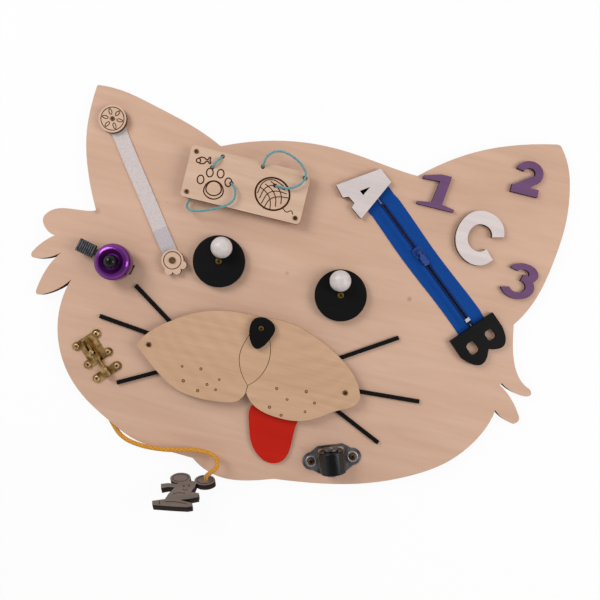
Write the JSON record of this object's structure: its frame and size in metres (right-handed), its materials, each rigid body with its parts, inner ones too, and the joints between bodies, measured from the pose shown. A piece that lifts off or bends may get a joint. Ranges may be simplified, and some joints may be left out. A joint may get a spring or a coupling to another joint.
{
  "type": "wooden busy board",
  "caption": "Cat-head plywood busy board with turning eyes, raised muzzle, swinging tongue, bell, slide bolt, roller, zip, lacing panel, strap, letters and a cord with a mouse tag.",
  "frame": {"origin": "middle of the board's box in X and Y, on the flat back face", "axes": "+X to the right across the face, +Y up towards the ears, +Z out of the face"},
  "size_m": [0.5189, 0.443, 0.042],
  "materials": {
    "board_ply": "birch plywood face, clear matte varnish",
    "warm_ply": "plywood with a warmer curved grain, matte",
    "black_wood": "satin black paint on plywood",
    "white_wood": "matte white paint on plywood",
    "white_bead": "satin white paint on a turned wooden ball",
    "red_wood": "matte red paint on plywood",
    "purple_wood": "matte purple paint on plywood",
    "panel_ply": "laser-cut birch plywood, dark cut edges",
    "pendant_ply": "greyish plywood, dark cut edges",
    "brass_screw": "plain brass, slightly worn",
    "bronze_screw": "dark bronze plated steel",
    "antique_brass": "antique brass plate, darker in the corners",
    "antique_screw": "antique brass plate",
    "steel": "plain bright steel",
    "hidden_spacer": "small turned wooden spacer",
    "washer_nylon": "plain nylon washer",
    "lace_fabric": "round woven turquoise lace",
    "strap_fabric": "white woven hook-and-loop tape",
    "bell_purple": "glossy purple anodised shell",
    "bell_black": "black moulded plastic",
    "roller_metal": "dark gunmetal plate",
    "roller_black": "glossy black hard plastic",
    "zip_fabric": "royal blue woven tape",
    "zip_plastic": "dark blue moulded teeth",
    "zip_blue": "blue enamelled die casting",
    "zip_silver": "plain aluminium clip",
    "cord_fabric": "round braided golden yellow cord"
  },
  "bodies": {
    "board": {"board": "board_ply", "left_eye_screw": "brass_screw", "right_eye_screw": "brass_screw", "eye_washers": "washer_nylon", "left_cheek": "warm_ply", "right_cheek": "warm_ply", "muzzle_middle": "warm_ply", "nose": "black_wood", "nose_screw": "brass_screw", "cheek_screws": "bronze_screw", "muzzle_spacers": "hidden_spacer", "tongue_screw": "brass_screw", "whiskers": "black_wood", "lacing_panel": "panel_ply", "lacing_spacers": "hidden_spacer", "lacing_screws": "bronze_screw", "lace_left": "lace_fabric", "lace_right": "lace_fabric", "lace_knots": "lace_fabric", "strap_tape": "strap_fabric", "strap": "strap_fabric", "strap_disc": "panel_ply", "strap_disc_screw": "bronze_screw", "strap_pull": "panel_ply", "strap_pull_rivet": "bronze_screw", "bell_base": "bell_black", "bell_dome": "bell_purple", "bell_cap": "bell_black", "bell_striker_pin": "steel", "latch_body": "antique_brass", "latch_keeper": "antique_brass", "latch_screws": "antique_screw", "roller_bracket": "roller_metal", "roller_axle": "steel", "roller_screws": "bronze_screw", "zip_tape_left": "zip_fabric", "zip_tape_right": "zip_fabric", "zip_teeth": "zip_plastic", "zip_stop": "zip_silver", "letter_a": "white_wood", "letter_b": "black_wood", "letter_c": "white_wood", "digit_1": "purple_wood", "digit_2": "purple_wood", "digit_3": "purple_wood", "mouse_cord": "cord_fabric", "mouse_pendant": "pendant_ply", "cord_knot": "cord_fabric"},
    "left_eye": {"left_eye_disc": "black_wood", "left_eye_knob": "white_bead", "left_eye_knob_screw": "brass_screw"},
    "right_eye": {"right_eye_disc": "black_wood", "right_eye_knob": "white_bead", "right_eye_knob_screw": "brass_screw"},
    "tongue": {"tongue": "red_wood"},
    "bell_striker": {"bell_striker": "bell_black"},
    "latch_bolt": {"latch_bolt": "antique_brass"},
    "roller_wheel": {"roller_wheel": "roller_black"},
    "zip_slider": {"zip_slider": "zip_blue"},
    "zip_pull": {"zip_pull": "zip_blue"}
  },
  "joints": [
    {"name": "left_eye_spin", "type": "hinge", "parent": "board", "child": "left_eye", "pos_m": [-0.0745, 0.007, 0.0147], "axis": [0, 0, 1], "continuous": true},
    {"name": "right_eye_spin", "type": "hinge", "parent": "board", "child": "right_eye", "pos_m": [0.0505, 0.003, 0.0147], "axis": [0, 0, 1], "continuous": true},
    {"name": "tongue_swing", "type": "hinge", "parent": "board", "child": "tongue", "pos_m": [0.014, -0.098, 0.0118], "axis": [0, 0, 1], "range_deg": [-12, 12]},
    {"name": "bell_press", "type": "hinge", "parent": "board", "child": "bell_striker", "pos_m": [-0.18666, -0.01536, 0.019], "axis": [-0.2164, -0.9763, 0], "range_deg": [0, 13], "stiffness_Nm_per_rad": 0.02, "springref_deg": -17.19},
    {"name": "latch_slide", "type": "slide", "parent": "board", "child": "latch_bolt", "axis": [0.7254, -0.6884, 0], "range_m": [-0.011, 0]},
    {"name": "roller_spin", "type": "hinge", "parent": "board", "child": "roller_wheel", "pos_m": [0.081, -0.1573, 0.023], "axis": [-0.3486, 0.9373, 0], "continuous": true},
    {"name": "zip_slide", "type": "slide", "parent": "board", "child": "zip_slider", "axis": [0.7662, -0.6427, 0], "range_m": [-0.048, 0.07]},
    {"name": "zip_pull_flip", "type": "hinge", "parent": "zip_slider", "child": "zip_pull", "pos_m": [0.1157, 0.06266, 0.0173], "axis": [0.6427, 0.7662, 0], "range_deg": [-150, 0]}
  ]
}
